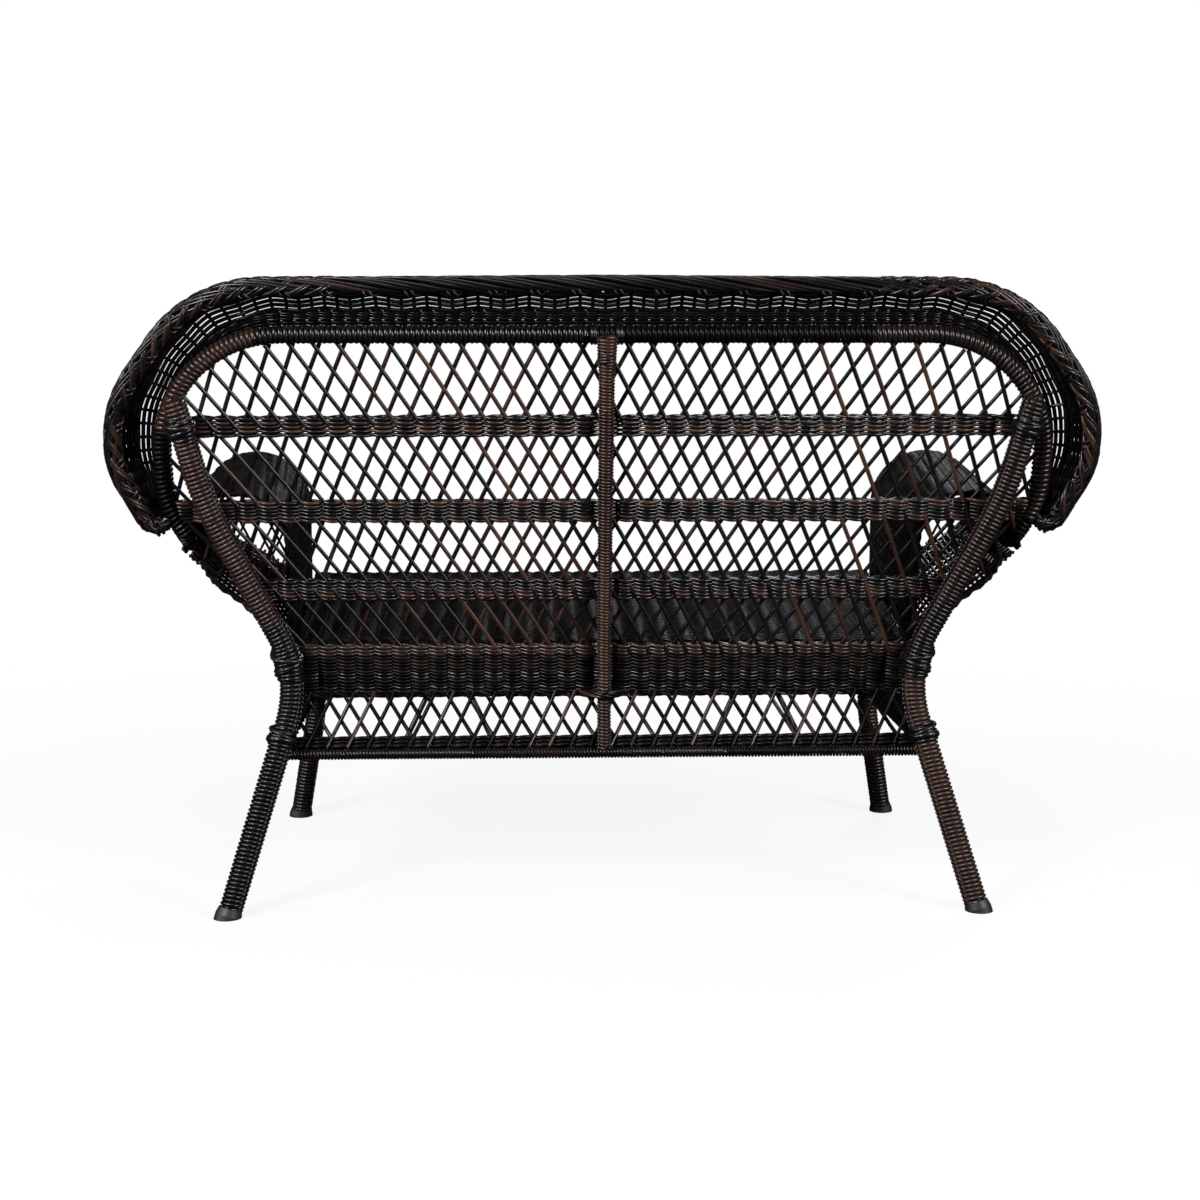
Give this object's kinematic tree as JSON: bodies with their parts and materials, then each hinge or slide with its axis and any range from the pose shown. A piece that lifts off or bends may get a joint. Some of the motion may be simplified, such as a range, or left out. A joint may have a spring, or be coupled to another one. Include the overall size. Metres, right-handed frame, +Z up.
{
  "type": "patio loveseat",
  "caption": "Woven resin wicker patio loveseat with a diamond-lattice back, a flared rolled collar, rolled arms and splayed bound legs.",
  "frame": {"origin": "on the floor, at the middle of the box round the whole seat", "axes": "+X to the sitter's left, -Y the way the sitter faces, +Z up"},
  "size_m": [1.3906, 0.7123, 0.9129],
  "materials": {
    "bound_tube": "steel tube close-wound with round resin strand, dark brown, semi-gloss",
    "joint_binding": "resin strand wound over a tube joint, dark brown, semi-gloss",
    "centre_post": "figure-of-eight binding with beaded edges, a lighter brown, semi-gloss",
    "foot_glide": "moulded black glide, satin",
    "lattice_strand": "round resin strand, mixed black and dark red-brown, semi-gloss",
    "close_weave": "close-woven round resin strand, mixed black and dark red-brown, semi-gloss",
    "braid": "plaited resin strand border, mixed black and dark red-brown, semi-gloss"
  },
  "bodies": {
    "root": {"arm_front_left": "close_weave", "arm_front_right": "close_weave", "arm_front_rim_left": "braid", "arm_front_rim_right": "braid", "arm_hoop_left": "bound_tube", "arm_hoop_right": "bound_tube", "arm_rail_left": "bound_tube", "arm_rail_right": "bound_tube", "arm_roll_left": "close_weave", "arm_roll_right": "close_weave", "arm_side_left": "close_weave", "arm_side_right": "close_weave", "back_band_lower": "close_weave", "back_band_middle": "close_weave", "back_band_upper": "close_weave", "back_bow": "bound_tube", "back_lattice_lower": "lattice_strand", "back_lattice_seat": "lattice_strand", "back_lattice_top": "lattice_strand", "back_lattice_upper": "lattice_strand", "bow_binding_left": "joint_binding", "bow_binding_right": "joint_binding", "centre_post": "centre_post", "centre_post_binding": "joint_binding", "collar": "close_weave", "collar_rim": "braid", "foot_glide_front_left": "foot_glide", "foot_glide_front_right": "foot_glide", "foot_glide_rear_left": "foot_glide", "foot_glide_rear_right": "foot_glide", "front_apron": "close_weave", "front_leg_left": "bound_tube", "front_leg_right": "bound_tube", "lower_binding_left": "joint_binding", "lower_binding_right": "joint_binding", "lower_rail_front": "bound_tube", "lower_rail_left": "bound_tube", "lower_rail_rear": "bound_tube", "lower_rail_right": "bound_tube", "rear_apron": "close_weave", "rear_leg_left": "bound_tube", "rear_leg_right": "bound_tube", "seat_bearer_left": "bound_tube", "seat_bearer_right": "bound_tube", "seat_deck": "close_weave", "seat_rail_front": "bound_tube", "seat_rail_left": "bound_tube", "seat_rail_rear": "bound_tube", "seat_rail_right": "bound_tube", "side_apron_left": "close_weave", "side_apron_right": "close_weave", "skirt_braces": "bound_tube", "skirt_front": "lattice_strand", "skirt_rear": "lattice_strand", "skirt_side_left": "lattice_strand", "skirt_side_right": "lattice_strand", "waist_binding_left": "joint_binding", "waist_binding_right": "joint_binding"}
  },
  "joints": []
}
